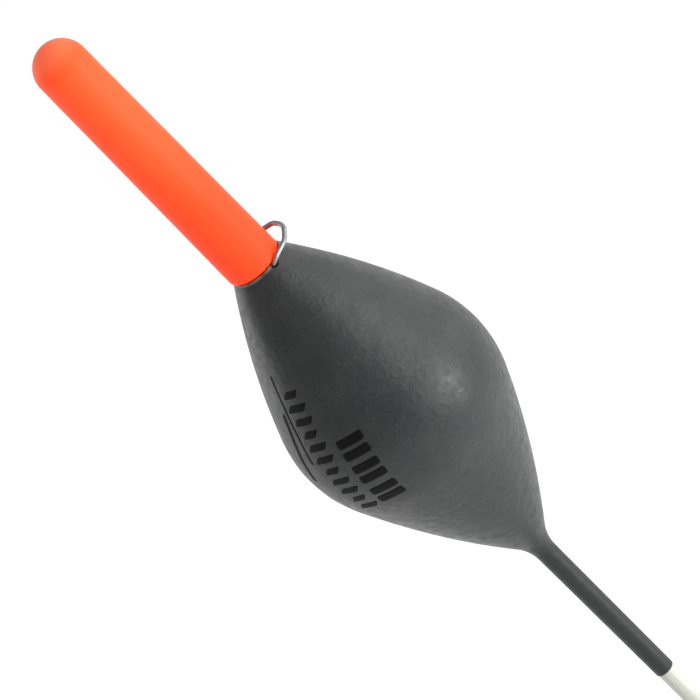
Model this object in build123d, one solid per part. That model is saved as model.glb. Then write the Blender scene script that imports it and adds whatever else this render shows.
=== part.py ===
from build123d import *
import os
from math import acos, asin, atan2, cos, degrees, radians, sin, sqrt

# A small pole float: hollow bright sight tip, pear-shaped foam body under a
# dark dip coat, glass-fibre stem and a wire line eye at the foot of the tip.
# Millimetres, +Z up towards the tip, origin at the lower end of the stem.

# ---- driving dimensions ----
rod_radius = 0.375           # glass-fibre rod, bare
keyed_radius = 0.360         # the rod under the coat and in the glue: an assumed step, too small to see
keying_taper = 0.8           # length over which it narrows from one to the other
rod_chamfer = 0.08
bare_stem = 22.7             # rod below the coat
coated_stem = 7.3            # rod under the coat, below the body
rod_above_body = 4.0         # rod end inside the tip

body_length = 17.4           # top face to the end of the fillet on the stem
belly_drop = 8.07            # top face down to the widest circle
belly_radius = 4.45
belly_round = 5.3            # arc radius across the belly
upper_round = 32.0           # arc radius of the upper flank
lower_round = 34.0           # arc radius of the lower flank
fillet_round = 2.0           # hollow arc from the body into the stem
upper_turn = radians(19.2)   # half of the belly arc above the widest circle
lower_turn = radians(21.6)   # half of the belly arc below it

coat = 0.12                  # dip coat on the foam
coated_stem_radius = 0.440   # stem with its coat, where it leaves the body
coat_edge_radius = 0.410     # and at the coat's lower edge
foam_end_wall = 0.18         # width of the foam's flat lower ring
glue = 0.06                  # adhesive film round the rod
tip_glue = 0.10              # adhesive film in the tip

tip_length = 12.28
tip_radius = 1.178           # outside, at the body
tip_end_radius = 1.115       # outside, where the dome starts
tip_bore_radius = 0.86       # straight bore, up to the inside of the dome
tip_rim_round = 0.12         # rounded lower rim of the tip
tip_seam = 0.03              # gap between the tip and the body
tip_lean = 0.66              # degrees towards +X: the plug's seat is drilled a little askew
tip_shift = -0.05            # and this far from the stem's axis, in x

plug_in_tip = 3.0
plug_in_body = 3.0
plug_chamfer = 0.2

wire_radius = 0.1
leg_x = 0.34                 # the eye's two legs stand at this x, at -y and +y, under the tip's wall
leg_y = 0.94
leg_depth = 4.0
leg_end_gap = 0.2            # below each leg, to the bottom of its hole
leg_turn_drop = 0.22         # the wire turns down into its leg this far below the body's top
leg_hole_radius = 0.16
leg_hole_shift = 0.04        # each hole runs a little wide of the wire, on -X
leg_glue_drop = 0.5          # top of the glue in the holes, below the body's top

# ---- derived places ----
coat_edge = bare_stem
body_foot = bare_stem + coated_stem
body_top = body_foot + body_length
belly_z = body_top - belly_drop
tip_base = body_top + tip_seam
bore_radius = keyed_radius + glue
plug_radius = tip_bore_radius - tip_glue
plug_foot = body_top - plug_in_body
plug_top = tip_base + plug_in_tip
leg_foot = body_top - leg_depth
tip_pose = Pos(tip_shift, 0, tip_base) * Rot(0, tip_lean, 0)
on_foot = (Align.CENTER, Align.CENTER, Align.MIN)


def rod(radius, low, high):
    """A round bar on the Z axis."""
    return Pos(0, 0, low) * Cylinder(radius, high - low, align=on_foot)


def turned(*lines):
    """The solid of revolution of a closed outline drawn in x and z."""
    outline = [edge for line in lines for edge in (Plane.XZ * line).edges()]
    return revolve(make_face(outline), Axis.Z)


# ---- the body's outline: four arcs, each tangent to the next ----
belly_centre = (belly_radius - belly_round, belly_z)
upper_centre = (
    belly_centre[0] - (upper_round - belly_round) * cos(upper_turn),
    belly_centre[1] - (upper_round - belly_round) * sin(upper_turn),
)
lower_centre = (
    belly_centre[0] - (lower_round - belly_round) * cos(lower_turn),
    belly_centre[1] + (lower_round - belly_round) * sin(lower_turn),
)
fillet_x = coated_stem_radius + fillet_round
fillet_rise = sqrt((lower_round + fillet_round) ** 2 - (fillet_x - lower_centre[0]) ** 2)
fillet_z = lower_centre[1] - fillet_rise
lower_end = atan2(fillet_rise, fillet_x - lower_centre[0])


def arc(centre, radius, start, end):
    """An arc about a centre, between two angles in radians."""
    return CenterArc(centre, radius, degrees(start), degrees(end - start))


def flank_arcs(inset, last):
    """The convex outline, moved in by inset, from the body's top down to the angle last."""
    top_angle = asin((body_top - upper_centre[1]) / (upper_round - inset))
    return [
        arc(upper_centre, upper_round - inset, top_angle, upper_turn),
        arc(belly_centre, belly_round - inset, upper_turn, -lower_turn),
        arc(lower_centre, lower_round - inset, -lower_turn, -last),
    ]


# the foam lies one coat inside the body's outline and ends in a flat ring round the rod
foam_ring_radius = bore_radius + foam_end_wall
foam_arcs = flank_arcs(coat, acos((foam_ring_radius - lower_centre[0]) / (lower_round - coat)))
foam_top_radius = (foam_arcs[0] @ 0).X
foam_foot = (foam_arcs[2] @ 1).Y


def eye_wire(radius, leg_end):
    """The eye's bow round the +X side of the tip, rising to the rear, with a leg from each end down to leg_end."""
    leg_turn = body_top - leg_turn_drop
    route = [
        (leg_x, -leg_y, leg_end),
        (leg_x, -leg_y, leg_turn),
        (0.62, -1.13, body_top + 0.08),
        (1.38, -0.62, body_top + 0.10),
        (1.76, 0.10, body_top + 0.24),
        (1.52, 0.66, body_top + 0.36),
        (0.95, 1.00, body_top + 0.34),
        (0.62, 1.17, body_top + 0.12),
        (leg_x, leg_y, leg_turn),
        (leg_x, leg_y, leg_end),
    ]
    bends = [0.20, 0.35, 0.85, 0.60, 0.55, 0.50, 0.35, 0.20]
    centre_line = FilletPolyline(*route, radius=bends)
    start = Plane(origin=centre_line @ 0, z_dir=centre_line % 0)
    return sweep(start * Circle(radius), path=centre_line)


# the legs' holes follow the wire, through the coat's rim and down into the foam
leg_holes = Pos(-leg_hole_shift, 0, 0) * eye_wire(leg_hole_radius, leg_foot)


def make_stem_rod():
    keyed_from = coat_edge + keying_taper
    rod_top = body_top + rod_above_body
    outline = Polyline(
        (0, 0),
        (rod_radius - rod_chamfer, 0),
        (rod_radius, rod_chamfer),
        (rod_radius, coat_edge),
        (keyed_radius, keyed_from),
        (keyed_radius, rod_top - rod_chamfer),
        (keyed_radius - rod_chamfer, rod_top),
        (0, rod_top),
        close=True,
    )
    return turned(outline)


def make_foam_body():
    axis_side = Polyline(
        (foam_ring_radius, foam_foot), (0, foam_foot), (0, body_top), (foam_top_radius, body_top)
    )
    foam = turned(*foam_arcs, axis_side)
    foam -= rod(bore_radius, foam_foot - 1, body_top)
    foam -= tip_pose * Pos(0, 0, -plug_in_body) * Cylinder(plug_radius, 2 * plug_in_body, align=on_foot)
    return foam - leg_holes


def make_body_coat():
    """Skin over the foam that fills the hollow at its foot and runs on down the stem."""
    skin_arcs = flank_arcs(0, lower_end)
    hollow = arc((fillet_x, fillet_z), fillet_round, radians(180) - lower_end, radians(180))
    keyed_from = coat_edge + keying_taper
    stem_side = Polyline(
        (coated_stem_radius, fillet_z),
        (coat_edge_radius, coat_edge),
        (rod_radius, coat_edge),
        (keyed_radius, keyed_from),
        (keyed_radius, foam_foot),
        (foam_ring_radius, foam_foot),
    )
    top_ring = Line((foam_top_radius, body_top), ((skin_arcs[0] @ 0).X, body_top))
    return turned(*skin_arcs, hollow, stem_side, *foam_arcs, top_ring) - leg_holes


def make_stem_glue():
    return rod(bore_radius, foam_foot, plug_foot) - rod(keyed_radius, foam_foot - 1, plug_foot + 1)


def make_tip_plug():
    plug = Pos(0, 0, -plug_in_body) * Cylinder(plug_radius, plug_in_body + plug_in_tip, align=on_foot)
    plug = chamfer(plug.edges().sort_by(Axis.Z)[-1], plug_chamfer)
    return tip_pose * plug - rod(keyed_radius, 0, plug_top + 1)


def make_tip_tube():
    dome_z = tip_length - tip_end_radius
    outer_dome = CenterArc((0, dome_z), tip_end_radius, 0, 90)
    inner_dome = CenterArc((0, dome_z), tip_bore_radius, 0, 90)
    wall = Polyline(
        (tip_bore_radius, dome_z), (tip_bore_radius, 0), (tip_radius, 0), (tip_end_radius, dome_z)
    )
    crown = Line((0, tip_length), (0, dome_z + tip_bore_radius))
    tube = turned(outer_dome, inner_dome, wall, crown)
    rim = tube.edges().filter_by(GeomType.CIRCLE).group_by(Axis.Z)[0].sort_by(SortBy.RADIUS)[-1]
    return tip_pose * fillet(rim, tip_rim_round)


def make_tip_glue():
    film = rod(tip_bore_radius, 0, plug_in_tip - plug_chamfer)
    return tip_pose * (film - rod(plug_radius, -1, plug_in_tip))


def make_eye_glue(eye):
    reach = rod(belly_radius, leg_foot, body_top - leg_glue_drop)
    return Compound([leg - eye for leg in (leg_holes & reach).solids()])


line_eye = eye_wire(wire_radius, leg_foot + leg_end_gap)
parts = {
    "stem_rod": make_stem_rod(),
    "foam_body": make_foam_body(),
    "body_coat": make_body_coat(),
    "stem_glue": make_stem_glue(),
    "tip_plug": make_tip_plug(),
    "tip_tube": make_tip_tube(),
    "tip_glue": make_tip_glue(),
    "line_eye": line_eye,
    "eye_glue": make_eye_glue(line_eye),
}

os.makedirs("parts", exist_ok=True)
for name, shape in parts.items():
    export_step(shape, f"parts/{name}.step")
    print(name, round(shape.volume, 4))
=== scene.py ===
from math import asin, atan2, cos, pi, radians, sin, sqrt, tan

import bmesh
import bpy
from mathutils import Matrix, Vector, noise


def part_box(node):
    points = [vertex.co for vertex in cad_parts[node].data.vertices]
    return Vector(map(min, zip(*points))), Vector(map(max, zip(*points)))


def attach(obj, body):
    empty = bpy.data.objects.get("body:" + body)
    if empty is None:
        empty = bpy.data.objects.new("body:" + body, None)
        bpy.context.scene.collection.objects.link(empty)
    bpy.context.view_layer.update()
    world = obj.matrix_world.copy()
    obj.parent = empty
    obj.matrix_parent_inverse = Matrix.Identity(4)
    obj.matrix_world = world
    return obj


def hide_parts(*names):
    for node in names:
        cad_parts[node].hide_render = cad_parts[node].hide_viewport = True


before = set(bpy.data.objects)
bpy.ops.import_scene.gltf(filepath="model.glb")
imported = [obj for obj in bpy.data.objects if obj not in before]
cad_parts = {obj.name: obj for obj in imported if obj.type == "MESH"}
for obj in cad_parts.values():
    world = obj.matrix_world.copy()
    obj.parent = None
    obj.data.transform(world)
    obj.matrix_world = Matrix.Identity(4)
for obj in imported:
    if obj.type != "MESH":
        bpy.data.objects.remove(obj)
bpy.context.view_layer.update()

MM = 0.001

# ---- places from the frame ----
coat_low, coat_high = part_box("body_coat")
body_top = coat_high.z
coat_edge = coat_low.z
tip_base = body_top + 0.03 * MM

# ---- the body's outline, as in the CAD model ----
belly_drop = 8.07 * MM
belly_radius = 4.45 * MM
belly_round = 5.3 * MM
upper_round = 32.0 * MM
lower_round = 34.0 * MM
fillet_round = 2.0 * MM
upper_turn = radians(19.2)
lower_turn = radians(21.6)
coated_stem_radius = 0.440 * MM
coat_edge_radius = 0.410 * MM
rod_radius = 0.375 * MM
coat_thickness = 0.12 * MM
lip_radius = 0.06 * MM
bead = 0.03 * MM              # how far the lip stands proud of the flank

# ---- the unevenness of the dipped skin: the size and depth of each kind ----
skin_slack = 0.020 * MM       # mean depth below the CAD surface
runs_size = 2.4 * MM
runs_depth = 0.011 * MM
runs_stretch = 0.6            # the runs are longer along the float by this factor
peel_size = 0.62 * MM
peel_depth = 0.0060 * MM
fine_size = 0.30 * MM
fine_depth = 0.0022 * MM
least_relief = 0.12           # share of the relief that is left on the stem
smooth_radius = 0.4 * MM      # it grows from this radius
relief_rise = 1.4 * MM        # to its full depth this much further out

# ---- the tip ----
tip_length = 12.27 * MM       # a hair inside the CAD tip
tip_radius = 1.178 * MM
tip_end_radius = 1.115 * MM
tip_bore_radius = 0.86 * MM
tip_rim_round = 0.14 * MM
tip_lean = radians(0.66)
tip_shift = -0.05 * MM
tip_slack = 0.006 * MM        # mean depth below the CAD surface
tip_wave_size = 1.7 * MM
tip_wave_depth = 0.004 * MM
tip_wave_stretch = 0.35
tip_skin_size = 0.45 * MM
tip_skin_depth = 0.0015 * MM
tip_crown_radius = 0.2 * MM   # the crown's middle is left smooth

# ---- the wire eye: corners of its centre line from the body's top and the bend at each, in millimetres ----
wire_radius = 0.1 * MM
leg_hole_radius = 0.16 * MM
leg_hole_shift = 0.04 * MM
leg_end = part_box("line_eye")[0].z
eye_corners = [
    (0.34, -0.94, -0.22),
    (0.62, -1.13, 0.08),
    (1.38, -0.62, 0.10),
    (1.76, 0.10, 0.24),
    (1.52, 0.66, 0.36),
    (0.95, 1.00, 0.34),
    (0.62, 1.17, 0.12),
    (0.34, 0.94, -0.22),
]
eye_bends = [0.20, 0.35, 0.85, 0.60, 0.55, 0.50, 0.35, 0.20]

# ---- printed marks, in millimetres and degrees ----
bar_drops = (6.32, 6.84, 7.46, 7.98, 8.66, 9.16)
bar_azimuth = -33.0           # at the drop below
bar_azimuth_drop = 6.3
bar_turn = 1.35               # degrees further round for each millimetre down
bar_width = 1.26
bar_height = 0.37
bar_corner = 0.09
bar_slant = 0.08
tick_count = 11
tick_drop = 4.0
tick_pitch = 0.53
tick_azimuth = -54.5
tick_width = 0.92
short_tick_width = 0.68       # every third one
tick_height = 0.29
tick_corner = 0.07
tick_slant = 0.9
ink_grid = 0.08 * MM          # about the spacing of the ink's vertices
ink_lift = 0.006 * MM         # the ink's face stands this far out of the skin
ink_sink = 0.012 * MM         # and its back this far inside

# ---- camera ----
view_elevation = radians(26.0)
view_roll = radians(45.22)
view_distance = 300 * MM
frame_width = 26.25 * MM
aim_right = 0.171 * MM        # the picture's centre, from the tip's foot
aim_down = 4.815 * MM         # along the picture plane, towards the stem


# ---------------------------------------------------------------- geometry

def new_object(name, vertices, faces):
    mesh = bpy.data.meshes.new(name)
    mesh.from_pydata([tuple(v) for v in vertices], [], faces)
    bm = bmesh.new()
    bm.from_mesh(mesh)
    bmesh.ops.recalc_face_normals(bm, faces=bm.faces)
    bm.to_mesh(mesh)
    bm.free()
    mesh.polygons.foreach_set("use_smooth", [True] * len(mesh.polygons))
    piece = bpy.data.objects.new(name, mesh)
    bpy.context.scene.collection.objects.link(piece)
    return piece


def arc_points(centre, radius, start, end, step):
    """Points along an arc, as (radius, height) pairs, from start to end with about the given spacing."""
    count = max(2, round(abs(end - start) * radius / step))
    angles = [start + (end - start) * i / count for i in range(count + 1)]
    return [(centre[0] + radius * cos(a), centre[1] + radius * sin(a)) for a in angles]


def line_points(first, last, step):
    """Points along a straight stretch, both ends included."""
    reach = Vector(last) - Vector(first)
    count = max(1, round(reach.length / step))
    return [tuple(Vector(first) + reach * (i / count)) for i in range(count + 1)]


def joined(*stretches):
    """One outline from several, without the doubled point where they meet."""
    outline = []
    for stretch in stretches:
        for point in stretch:
            if not outline or (Vector(point) - Vector(outline[-1])).length > 1e-7:
                outline.append(point)
    return outline


def lathe(name, outline, around, shape, closed=True):
    """Turns an outline about the Z axis. Each of its points is (radius, height, rough), and
    shape(point, rough) gives the vertex's final place. A point on the axis becomes one vertex."""
    vertices, rows = [], []
    for radius, height, rough in outline:
        if radius < 1e-8:
            rows.append([len(vertices)] * around)
            vertices.append(shape(Vector((0, 0, height)), rough))
            continue
        rows.append(list(range(len(vertices), len(vertices) + around)))
        for i in range(around):
            angle = 2 * pi * i / around
            vertices.append(shape(Vector((radius * cos(angle), radius * sin(angle), height)), rough))
    faces = []
    pairs = list(zip(rows, rows[1:])) + ([(rows[-1], rows[0])] if closed else [])
    for low, high in pairs:
        for i in range(around):
            j = (i + 1) % around
            corners = [low[i], low[j], high[j], high[i]]
            unique = [c for n, c in enumerate(corners) if c not in corners[:n]]
            if len(unique) > 2:
                faces.append(unique)
    return new_object(name, vertices, faces)


def cut_away(piece, cutters):
    """Takes the cutters out of a piece for good, and removes them."""
    for cutter in cutters:
        modifier = piece.modifiers.new("cut", "BOOLEAN")
        modifier.object = cutter
        modifier.operation = "DIFFERENCE"
        modifier.solver = "EXACT"
    graph = bpy.context.evaluated_depsgraph_get()
    result = bpy.data.meshes.new_from_object(piece.evaluated_get(graph))
    piece.modifiers.clear()
    piece.data = result
    for cutter in cutters:
        bpy.data.objects.remove(cutter)


def rounded_path(corners, bends, step):
    """Points along a line through the corners, with an arc of the given radius at each inner one."""
    path = [corners[0]]
    for before, corner, after, radius in zip(corners, corners[1:], corners[2:], bends):
        back = (before - corner).normalized()
        on = (after - corner).normalized()
        half = back.angle(on) / 2
        centre = corner + (back + on).normalized() * (radius / sin(half))
        start = corner + back * (radius / tan(half)) - centre
        end = corner + on * (radius / tan(half)) - centre
        turn = start.angle(end)
        axis = start.cross(end).normalized()
        count = max(4, round(turn * radius / step))
        path += [centre + Matrix.Rotation(turn * i / count, 3, axis) @ start for i in range(count + 1)]
    return path + [corners[-1]]


def tube(name, path, radius, around):
    """A round bar along a path, with flat ends."""
    ahead = (path[1] - path[0]).normalized()
    side = ahead.orthogonal().normalized()
    vertices = []
    for i, point in enumerate(path):
        before = path[max(i - 1, 0)]
        after = path[min(i + 1, len(path) - 1)]
        turned = (after - before).normalized()
        side = (ahead.rotation_difference(turned) @ side).normalized()
        ahead = turned
        up = ahead.cross(side)
        for j in range(around):
            angle = 2 * pi * j / around
            vertices.append(point + side * (radius * cos(angle)) + up * (radius * sin(angle)))
    faces = [list(range(around))[::-1], list(range(len(vertices) - around, len(vertices)))]
    for i in range(len(path) - 1):
        for j in range(around):
            k = (j + 1) % around
            a, b = i * around, (i + 1) * around
            faces.append([a + j, a + k, b + k, b + j])
    return new_object(name, vertices, faces)


# ---------------------------------------------------------------- the body's skin

belly_z = body_top - belly_drop
belly_centre = (belly_radius - belly_round, belly_z)
upper_centre = (
    belly_centre[0] - (upper_round - belly_round) * cos(upper_turn),
    belly_centre[1] - (upper_round - belly_round) * sin(upper_turn),
)
lower_centre = (
    belly_centre[0] - (lower_round - belly_round) * cos(lower_turn),
    belly_centre[1] + (lower_round - belly_round) * sin(lower_turn),
)
fillet_x = coated_stem_radius + fillet_round
fillet_rise = sqrt((lower_round + fillet_round) ** 2 - (fillet_x - lower_centre[0]) ** 2)
fillet_z = lower_centre[1] - fillet_rise
lower_end = atan2(fillet_rise, fillet_x - lower_centre[0])
upper_end_z = belly_z + belly_round * sin(upper_turn)
lower_start_z = belly_z - belly_round * sin(lower_turn)


def skin_radius(z):
    """Radius of the body's outline at a height between the fillet and the top."""
    if z > upper_end_z:
        return upper_centre[0] + sqrt(upper_round**2 - (z - upper_centre[1]) ** 2)
    if z > lower_start_z:
        return belly_centre[0] + sqrt(belly_round**2 - (z - belly_z) ** 2)
    return lower_centre[0] + sqrt(lower_round**2 - (z - lower_centre[1]) ** 2)


def relief(point):
    """How far the dipped surface lies inside the CAD surface at a point: long runs and orange peel."""
    runs = noise.noise(Vector((point.x, point.y, point.z * runs_stretch)) / runs_size)
    peel = noise.noise(point / peel_size + Vector((7.3, 1.9, 4.4)))
    fine = noise.noise(point / fine_size + Vector((3.1, 8.2, 5.7)))
    return skin_slack - runs_depth * runs - peel_depth * peel - fine_depth * fine


def along_skin(point, depth):
    """The point moved in towards the axis by depth."""
    radius = Vector((point.x, point.y)).length
    return Vector((point.x * (1 - depth / radius), point.y * (1 - depth / radius), point.z))


def skin_shape(point, rough):
    return along_skin(point, relief(point) * rough) if rough else point


def roughness_at(radius):
    """The relief dies out where the body narrows into the stem."""
    return min(1.0, max(least_relief, (radius - smooth_radius) / relief_rise))


def make_skin():
    """The dip coat as a closed shell, with the holes for the eye's wire. Its outline runs from the
    rounded lip over the flanks, belly, hollow and stem to the lower edge, and back up inside."""
    step = 0.075 * MM
    lip_drop = 2.6 * lip_radius
    lip_centre = (skin_radius(body_top) + bead - lip_radius, body_top - lip_radius)
    below_lip = asin((body_top - lip_drop - upper_centre[1]) / upper_round)
    outer = joined(
        arc_points(lip_centre, lip_radius, pi / 2, radians(-12), 0.012 * MM),
        arc_points(upper_centre, upper_round, below_lip, upper_turn, step),
        arc_points(belly_centre, belly_round, upper_turn, -lower_turn, step),
        arc_points(lower_centre, lower_round, -lower_turn, -lower_end, step),
        arc_points((fillet_x, fillet_z), fillet_round, pi - lower_end, pi, 0.05 * MM),
        line_points((coated_stem_radius, fillet_z), (coat_edge_radius, coat_edge + 0.02 * MM), 0.1 * MM),
    )
    foam_top = skin_radius(body_top) - coat_thickness
    inside = [
        (coat_edge_radius - 0.01 * MM, coat_edge),
        (rod_radius, coat_edge),
        (rod_radius, body_top - 16 * MM),
        (belly_radius * 0.5, belly_z - 4 * MM),
        (belly_radius - 2 * coat_thickness, belly_z),
        (foam_top, body_top - 0.3 * MM),
        (foam_top, body_top),
    ]
    outline = [(r, z, roughness_at(r)) for r, z in outer] + [(r, z, 0) for r, z in inside]
    skin = lathe("coat_skin", outline, 288, skin_shape)
    wide = Vector((-leg_hole_shift, 0, 0))
    groove = tube("groove", [point + wide for point in eye_path()], leg_hole_radius, 32)
    cut_away(skin, [groove])
    return skin


# ---------------------------------------------------------------- the wire eye

def eye_path():
    """The centre line of the eye's wire, from the foot of one leg to the foot of the other."""
    corners = [Vector(corner) * MM + Vector((0, 0, body_top)) for corner in eye_corners]
    first, last = corners[0].copy(), corners[-1].copy()
    first.z = last.z = leg_end
    return rounded_path([first] + corners + [last], [bend * MM for bend in eye_bends], 0.03 * MM)


def make_eye():
    return tube("eye_wire", eye_path(), wire_radius, 32)


# ---------------------------------------------------------------- the tip

tip_pose = Matrix.Translation((tip_shift, 0, tip_base)) @ Matrix.Rotation(tip_lean, 4, "Y")


def tip_shape(point, rough):
    """Slight unevenness of a moulded tube, then its lean."""
    radius = point.xy.length
    if rough and radius > tip_crown_radius:
        wave = noise.noise(Vector((point.x, point.y, point.z * tip_wave_stretch)) / tip_wave_size)
        skin = noise.noise(point / tip_skin_size)
        point = along_skin(point, tip_slack - tip_wave_depth * wave - tip_skin_depth * skin)
    return tip_pose @ point


def make_tip():
    step = 0.08 * MM
    dome_z = tip_length - tip_end_radius
    rim_centre = (tip_radius - tip_rim_round, tip_rim_round)
    dome = [(0, tip_length)] + arc_points((0, dome_z), tip_end_radius, pi / 2, 0, step)[1:]
    wall = line_points((tip_end_radius, dome_z), (tip_radius, tip_rim_round), 0.12 * MM)
    rim = arc_points(rim_centre, tip_rim_round, 0, -pi / 2, 0.015 * MM)
    inner_dome = arc_points((0, dome_z), tip_bore_radius, 0, pi / 2, 0.2 * MM)[:-1]
    inner_crown = (0, dome_z + tip_bore_radius)
    outer = joined(dome, wall, rim)
    inner = joined([(tip_bore_radius, 0)], inner_dome, [inner_crown])
    outline = [(r, z, 1) for r, z in outer] + [(r, z, 0) for r, z in inner]
    return lathe("sight_tip", outline, 160, tip_shape, closed=False)


# ---------------------------------------------------------------- printed marks

def on_skin(azimuth, z, lift):
    """A point on the skin's real surface. Azimuth is from -Y towards +X."""
    radius = skin_radius(z)
    point = Vector((radius * sin(azimuth), -radius * cos(azimuth), z))
    return along_skin(point, relief(point) * roughness_at(radius) - lift)


def make_mark(name, azimuth, drop, width, height, corner, slant=0.0):
    """A thin closed layer of ink: a bar with rounded corners that lies on the skin, centred at the
    azimuth and drop below the body's top. Its height is along the float and its width round it, and
    slant is its lean sideways for its rise."""
    rows = max(6, round(height / ink_grid))
    columns = max(6, round(width / ink_grid))
    z = body_top - drop
    layers = [[], []]
    for i in range(rows + 1):
        v = height * (i / rows - 0.5)
        into_corner = max(0.0, abs(v) - (height / 2 - corner))
        reach = width / 2 - corner + sqrt(max(corner**2 - into_corner**2, (0.12 * corner) ** 2))
        for j in range(columns + 1):
            u = reach * (2 * j / columns - 1) + slant * v
            turn = radians(azimuth) + u / skin_radius(z + v)
            layers[0].append(on_skin(turn, z + v, ink_lift))
            layers[1].append(on_skin(turn, z + v, -ink_sink))
    across = columns + 1
    count = len(layers[0])
    faces = []
    for i in range(rows):
        for j in range(columns):
            a = i * across + j
            quad = [a, a + 1, a + across + 1, a + across]
            faces.append(quad)
            faces.append([count + c for c in reversed(quad)])
    border = list(range(across))
    border += [i * across + columns for i in range(1, rows + 1)]
    border += [rows * across + j for j in range(columns - 1, -1, -1)]
    border += [i * across for i in range(rows - 1, 0, -1)]
    for a, b in zip(border, border[1:] + border[:1]):
        faces.append([a, b, count + b, count + a])
    return new_object(name, layers[0] + layers[1], faces)


def make_marks():
    """Plain bars in place of printing: a block of thick ones, a row of slanted ticks and two stripes."""
    marks = []
    for n, drop in enumerate(bar_drops):
        azimuth = bar_azimuth - bar_turn * (drop - bar_azimuth_drop)
        size = (bar_width * MM, bar_height * MM)
        marks.append(make_mark(f"mark_bar_{n}", azimuth, drop * MM, *size, bar_corner * MM, bar_slant))
    for n in range(tick_count):
        drop = (tick_drop + tick_pitch * n) * MM
        size = ((tick_width if n % 3 else short_tick_width) * MM, tick_height * MM)
        marks.append(make_mark(f"mark_tick_{n}", tick_azimuth, drop, *size, tick_corner * MM, tick_slant))
    marks.append(make_mark("mark_stripe_0", -66.0, 5.0 * MM, 0.11 * MM, 3.6 * MM, 0.05 * MM, -0.02))
    marks.append(make_mark("mark_stripe_1", -73.0, 6.2 * MM, 0.20 * MM, 3.0 * MM, 0.09 * MM, 0.10))
    return marks


# ---------------------------------------------------------------- materials

def new_material(name):
    """A node material, its principled shader and a function that adds a node."""
    material = bpy.data.materials.new(name)
    material.use_nodes = True
    tree = material.node_tree
    shader = tree.nodes["Principled BSDF"]

    def add(kind, inputs=None, **settings):
        node = tree.nodes.new(kind)
        for key, value in settings.items():
            setattr(node, key, value)
        for key, value in (inputs or {}).items():
            if isinstance(value, bpy.types.NodeSocket):
                tree.links.new(value, node.inputs[key])
            else:
                node.inputs[key].default_value = value
        return node

    return material, shader, tree, add


def stretched_noise(add, feature, stretch=(1, 1, 1), detail=2.0):
    """Noise over the object's own coordinates. feature is its grain in metres."""
    place = add("ShaderNodeTexCoord").outputs["Object"]
    mapping = add("ShaderNodeMapping", {"Vector": place, "Scale": stretch})
    return add(
        "ShaderNodeTexNoise",
        {"Vector": mapping.outputs["Vector"], "Scale": 1 / feature, "Detail": detail},
    ).outputs["Fac"]


def ramp(add, factor, stops):
    """A colour ramp through (position, colour) stops."""
    node = add("ShaderNodeValToRGB", {"Fac": factor})
    elements = node.color_ramp.elements
    while len(elements) < len(stops):
        elements.new(0.5)
    for element, (position, colour) in zip(elements, stops):
        element.position = position
        element.color = (*colour, 1)
    return node.outputs["Color"]


def spread(add, factor, low, high):
    """A factor's middle range, 0.3 to 0.7, spread from low to high."""
    node = add(
        "ShaderNodeMapRange",
        {"Value": factor, "From Min": 0.3, "From Max": 0.7, "To Min": low, "To Max": high},
    )
    return node.outputs["Result"]


def bumped(add, height, distance, below=None):
    """A bump of that depth in metres, on top of another one if given."""
    inputs = {"Height": height, "Distance": distance, "Strength": 1.0}
    if below is not None:
        inputs["Normal"] = below
    return add("ShaderNodeBump", inputs).outputs["Normal"]


def height_mask(add, low, high):
    """Rises smoothly from 0 to 1 between two heights on the float."""
    place = add("ShaderNodeTexCoord").outputs["Object"]
    height = add("ShaderNodeSeparateXYZ", {"Vector": place}).outputs["Z"]
    node = add(
        "ShaderNodeMapRange",
        {"Value": height, "From Min": low, "From Max": high},
        interpolation_type="SMOOTHSTEP",
    )
    return node.outputs["Result"]


def colour_mix(add, factor, first, second):
    """Mixes two colours, each a socket or three numbers."""
    node = add("ShaderNodeMix", data_type="RGBA")
    for socket, value in ((0, factor), (6, first), (7, second)):
        if isinstance(value, bpy.types.NodeSocket):
            node.id_data.links.new(value, node.inputs[socket])
        else:
            node.inputs[socket].default_value = value if socket == 0 else (*value, 1)
    return node.outputs[2]


def cell_rings(add, feature):
    """Raised rings round the foam's beads, which show through the coat."""
    place = add("ShaderNodeTexCoord").outputs["Object"]
    cell = add("ShaderNodeTexVoronoi", {"Vector": place, "Scale": 1 / feature}).outputs["Distance"]
    heights = ((0.0, 0.35), (0.22, 0.30), (0.42, 1.0), (0.62, 0.45))
    return ramp(add, cell, [(position, (height,) * 3) for position, height in heights])


def coat_material():
    """Satin dark grey dip, a little greener towards the stem, with blotches, grain, the rings of the
    foam's beads, and a pale lip that is partly wear and partly a painted highlight on its rim."""
    material, shader, tree, add = new_material("dip_coat")
    blotch = stretched_noise(add, 1.3 * MM, detail=3)
    peel = stretched_noise(add, 0.30 * MM, detail=2)
    grain = stretched_noise(add, 0.085 * MM, detail=3)
    mixed = add("ShaderNodeMix", {"Factor": 0.55, "A": blotch, "B": grain}).outputs["Result"]
    grey = ramp(
        add,
        mixed,
        [(0.30, (0.017, 0.0185, 0.0195)), (0.50, (0.025, 0.026, 0.027)), (0.70, (0.039, 0.040, 0.041))],
    )
    upper = height_mask(add, belly_z - 8 * MM, belly_z - 1 * MM)
    grey = colour_mix(add, upper, (0.0155, 0.0180, 0.0182), grey)
    # painted highlight, partly real wear: a pale band round the lip at the top edge, broken up by the peel
    # noise
    rim_wear_and_highlight = add(
        "ShaderNodeMath",
        {0: height_mask(add, body_top - 0.13 * MM, body_top - 0.02 * MM), 1: spread(add, peel, 0.35, 1.0)},
        operation="MULTIPLY",
    ).outputs["Value"]
    tree.links.new(colour_mix(add, rim_wear_and_highlight, grey, (0.20, 0.185, 0.18)), shader.inputs["Base Color"])
    tree.links.new(spread(add, peel, 0.33, 0.48), shader.inputs["Roughness"])
    skin_bump = bumped(add, peel, 0.011 * MM)
    rings = bumped(add, cell_rings(add, 0.52 * MM), 0.006 * MM, skin_bump)
    tree.links.new(bumped(add, grain, 0.0065 * MM, rings), shader.inputs["Normal"])
    shader.inputs["Specular IOR Level"].default_value = 0.42
    return material


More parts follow.
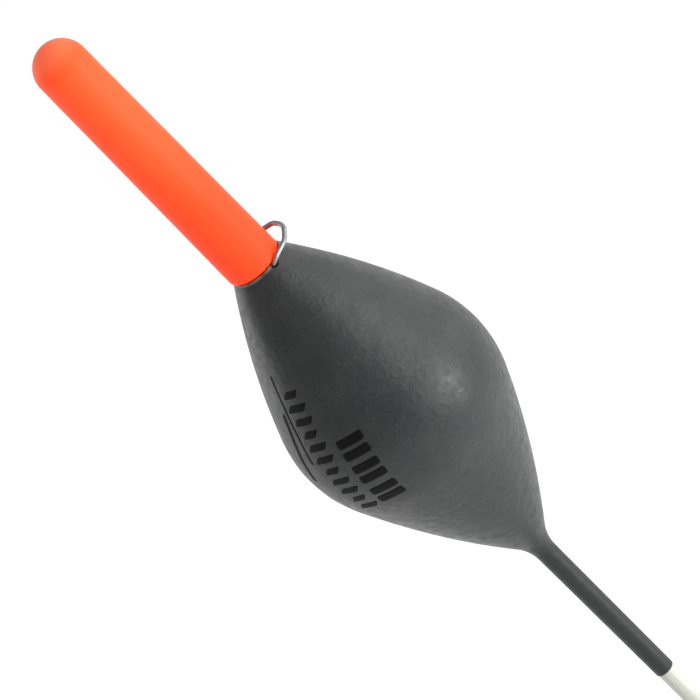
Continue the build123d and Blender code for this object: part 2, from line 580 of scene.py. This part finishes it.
def tip_material():
    """Fluorescent orange with a painted glow that lights it a little by itself, painted paler towards the
    domed end as painted light, with a painted highlight on the dome.
    """
    material, shader, tree, add = new_material("sight_tip")
    cloud = stretched_noise(add, 1.8 * MM, (1, 1, 0.4), 2)
    draw = stretched_noise(add, 0.16 * MM, (1, 1, 0.08), 2)
    grain = stretched_noise(add, 0.05 * MM)
    mixed = add("ShaderNodeMix", {"Factor": 0.4, "A": cloud, "B": draw}).outputs["Result"]
    foot = ramp(
        add,
        mixed,
        [(0.3, (1.0, 0.051, 0.007)), (0.5, (1.0, 0.062, 0.010)), (0.7, (1.0, 0.074, 0.015))],
    )
    end = ramp(
        add,
        mixed,
        [(0.3, (1.0, 0.082, 0.014)), (0.5, (1.0, 0.096, 0.020)), (0.7, (1.0, 0.112, 0.028))],
    )
    # painted light: the tube is painted paler from its foot towards its end, and the domed end gets a
    # painted highlight
    along = height_mask(add, tip_base, tip_base + tip_length)
    dome_highlight = height_mask(add, tip_base + tip_length - 0.9 * MM, tip_base + tip_length)
    painted = colour_mix(add, along, foot, end)
    tree.links.new(colour_mix(add, dome_highlight, painted, (1.0, 0.20, 0.085)), shader.inputs["Base Color"])
    tree.links.new(spread(add, draw, 0.44, 0.58), shader.inputs["Roughness"])
    tree.links.new(bumped(add, grain, 0.001 * MM, bumped(add, draw, 0.0025 * MM)), shader.inputs["Normal"])
    shader.inputs["Specular IOR Level"].default_value = 0.15
    # painted glow: the emission lights the tip by itself, evenly, whatever the lamps do
    shader.inputs["Emission Color"].default_value = (1.0, 0.055, 0.016, 1)
    shader.inputs["Emission Strength"].default_value = 0.30
    return material


def steel_material():
    """Bright drawn stainless wire."""
    material, shader, tree, add = new_material("eye_wire")
    drawn = stretched_noise(add, 0.05 * MM, (1, 1, 1), 3)
    colour = ramp(add, drawn, [(0.3, (0.24, 0.26, 0.26)), (0.7, (0.42, 0.44, 0.44))])
    tree.links.new(colour, shader.inputs["Base Color"])
    tree.links.new(spread(add, drawn, 0.32, 0.46), shader.inputs["Roughness"])
    shader.inputs["Metallic"].default_value = 1.0
    return material


def rod_material():
    """Pale glass fibre, slightly translucent, with its fibres along the rod."""
    material, shader, tree, add = new_material("glass_fibre")
    fibres = stretched_noise(add, 0.05 * MM, (1, 1, 0.02), 3)
    cloud = stretched_noise(add, 1.5 * MM, (1, 1, 0.4), 2)
    mixed = add("ShaderNodeMix", {"Factor": 0.6, "A": cloud, "B": fibres}).outputs["Result"]
    colour = ramp(
        add,
        mixed,
        [(0.3, (0.44, 0.45, 0.39)), (0.5, (0.54, 0.55, 0.49)), (0.7, (0.64, 0.65, 0.60))],
    )
    tree.links.new(colour, shader.inputs["Base Color"])
    tree.links.new(spread(add, fibres, 0.22, 0.42), shader.inputs["Roughness"])
    tree.links.new(bumped(add, fibres, 0.003 * MM), shader.inputs["Normal"])
    shader.inputs["Subsurface Weight"].default_value = 0.4
    shader.inputs["Subsurface Radius"].default_value = (1.0, 1.0, 0.9)
    shader.inputs["Subsurface Scale"].default_value = 0.4 * MM
    return material


def ink_material():
    """Matt black ink."""
    material, shader, tree, add = new_material("ink")
    grain = stretched_noise(add, 0.06 * MM)
    colour = ramp(add, grain, [(0.3, (0.002, 0.002, 0.0024)), (0.7, (0.006, 0.006, 0.0068))])
    tree.links.new(colour, shader.inputs["Base Color"])
    tree.links.new(spread(add, grain, 0.55, 0.75), shader.inputs["Roughness"])
    tree.links.new(bumped(add, grain, 0.002 * MM), shader.inputs["Normal"])
    shader.inputs["Specular IOR Level"].default_value = 0.12
    return material


def foam_material():
    """Closed-cell rigid foam."""
    material, shader, tree, add = new_material("rigid_foam")
    place = add("ShaderNodeTexCoord").outputs["Object"]
    cell = add("ShaderNodeTexVoronoi", {"Vector": place, "Scale": 1 / (0.12 * MM)}).outputs["Distance"]
    colour = ramp(add, cell, [(0.1, (0.42, 0.36, 0.22)), (0.6, (0.66, 0.58, 0.40))])
    tree.links.new(colour, shader.inputs["Base Color"])
    tree.links.new(bumped(add, cell, 0.02 * MM), shader.inputs["Normal"])
    shader.inputs["Roughness"].default_value = 0.85
    return material


def plug_material():
    """Natural white plastic."""
    material, shader, tree, add = new_material("plug_plastic")
    cloud = stretched_noise(add, 0.4 * MM)
    colour = ramp(add, cloud, [(0.3, (0.60, 0.60, 0.57)), (0.7, (0.72, 0.72, 0.70))])
    tree.links.new(colour, shader.inputs["Base Color"])
    tree.links.new(spread(add, cloud, 0.4, 0.6), shader.inputs["Roughness"])
    return material


def glue_material():
    """Amber adhesive."""
    material, shader, tree, add = new_material("adhesive")
    cloud = stretched_noise(add, 0.2 * MM)
    colour = ramp(add, cloud, [(0.3, (0.06, 0.045, 0.02)), (0.7, (0.13, 0.10, 0.05))])
    tree.links.new(colour, shader.inputs["Base Color"])
    tree.links.new(spread(add, cloud, 0.15, 0.3), shader.inputs["Roughness"])
    return material


def floor_material():
    """A plain pale floor that glows enough to read as white."""
    material, shader, tree, add = new_material("floor")
    cloud = stretched_noise(add, 60 * MM)
    colour = ramp(add, cloud, [(0.3, (0.90, 0.90, 0.90)), (0.7, (0.94, 0.94, 0.94))])
    tree.links.new(colour, shader.inputs["Base Color"])
    shader.inputs["Roughness"].default_value = 0.9
    shader.inputs["Emission Color"].default_value = (1.0, 1.0, 1.0, 1)
    shader.inputs["Emission Strength"].default_value = 0.58
    return material


# ---------------------------------------------------------------- making the float

def paint(piece, material):
    piece.data.materials.clear()
    piece.data.materials.append(material)


def place_piece(piece, material, stands_for=None):
    paint(piece, material)
    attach(piece, "root")
    if stands_for:
        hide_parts(stands_for)


place_piece(make_skin(), coat_material(), "body_coat")
place_piece(make_tip(), tip_material(), "tip_tube")
place_piece(make_eye(), steel_material(), "line_eye")
ink = ink_material()
for mark in make_marks():
    place_piece(mark, ink)

glue = glue_material()
node_materials = {
    "stem_rod": rod_material(),
    "foam_body": foam_material(),
    "tip_plug": plug_material(),
    "stem_glue": glue,
    "tip_glue": glue,
    "eye_glue": glue,
}
for node, material in node_materials.items():
    for material_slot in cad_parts[node].material_slots:
        material_slot.material = material

# ---------------------------------------------------------------- floor, light and camera

floor_z = -250 * MM
light_distance = 450 * MM
centre = Vector((0, 0, body_top - belly_drop))

bpy.ops.mesh.primitive_plane_add(size=8.0, location=(0, 0, floor_z))
floor = bpy.context.object
floor.name = "studio_floor"
paint(floor, floor_material())


def make_world(brightness):
    """Even, pale surroundings."""
    world = bpy.data.worlds.new("studio")
    bpy.context.scene.world = world
    world.use_nodes = True
    background = world.node_tree.nodes["Background"]
    background.inputs["Color"].default_value = (1.0, 1.0, 1.0, 1)
    background.inputs["Strength"].default_value = brightness


def make_light(name, azimuth, elevation, size, power):
    """A square soft light that faces the float. Azimuth is from -Y towards +X, in degrees."""
    light = bpy.data.lights.new(name, "AREA")
    light.shape = "SQUARE"
    light.size = size
    light.energy = power
    lamp = bpy.data.objects.new(name, light)
    bpy.context.scene.collection.objects.link(lamp)
    turn, rise = radians(azimuth), radians(elevation)
    towards = Vector((cos(rise) * sin(turn), -cos(rise) * cos(turn), sin(rise)))
    lamp.location = centre + towards * light_distance
    lamp.rotation_euler = towards.to_track_quat("Z", "Y").to_euler()
    lamp.visible_camera = False


def make_camera():
    """The camera looks down past the tip, rolled so that the float runs from upper left to lower right."""
    right = Vector((1, 0, 0))
    up = Vector((0, sin(view_elevation), cos(view_elevation)))
    forward = Vector((0, cos(view_elevation), -sin(view_elevation)))
    aim = Vector((aim_right, 0, body_top)) - up * aim_down
    picture_right = right * cos(view_roll) - up * sin(view_roll)
    picture_up = right * sin(view_roll) + up * cos(view_roll)
    data = bpy.data.cameras.new("camera")
    data.sensor_width = 36.0
    data.lens = data.sensor_width * view_distance / frame_width
    data.clip_start = 0.01
    data.clip_end = 20.0
    camera = bpy.data.objects.new("camera", data)
    bpy.context.scene.collection.objects.link(camera)
    turn = Matrix((picture_right, picture_up, -forward)).transposed().to_4x4()
    camera.matrix_world = Matrix.Translation(aim - forward * view_distance) @ turn
    bpy.context.scene.camera = camera


make_world(0.42)
make_light("key", 47, 7, 400 * MM, 1.36)
make_light("side", 90, 8, 360 * MM, 0.66)
make_light("back_right", 135, 15, 340 * MM, 0.30)
make_light("back_left", 225, 15, 340 * MM, 0.60)
make_light("glint", 51, -15, 90 * MM, 0.52)
make_camera()
bpy.context.scene.view_settings.view_transform = "Standard"

bpy.context.view_layer.update()
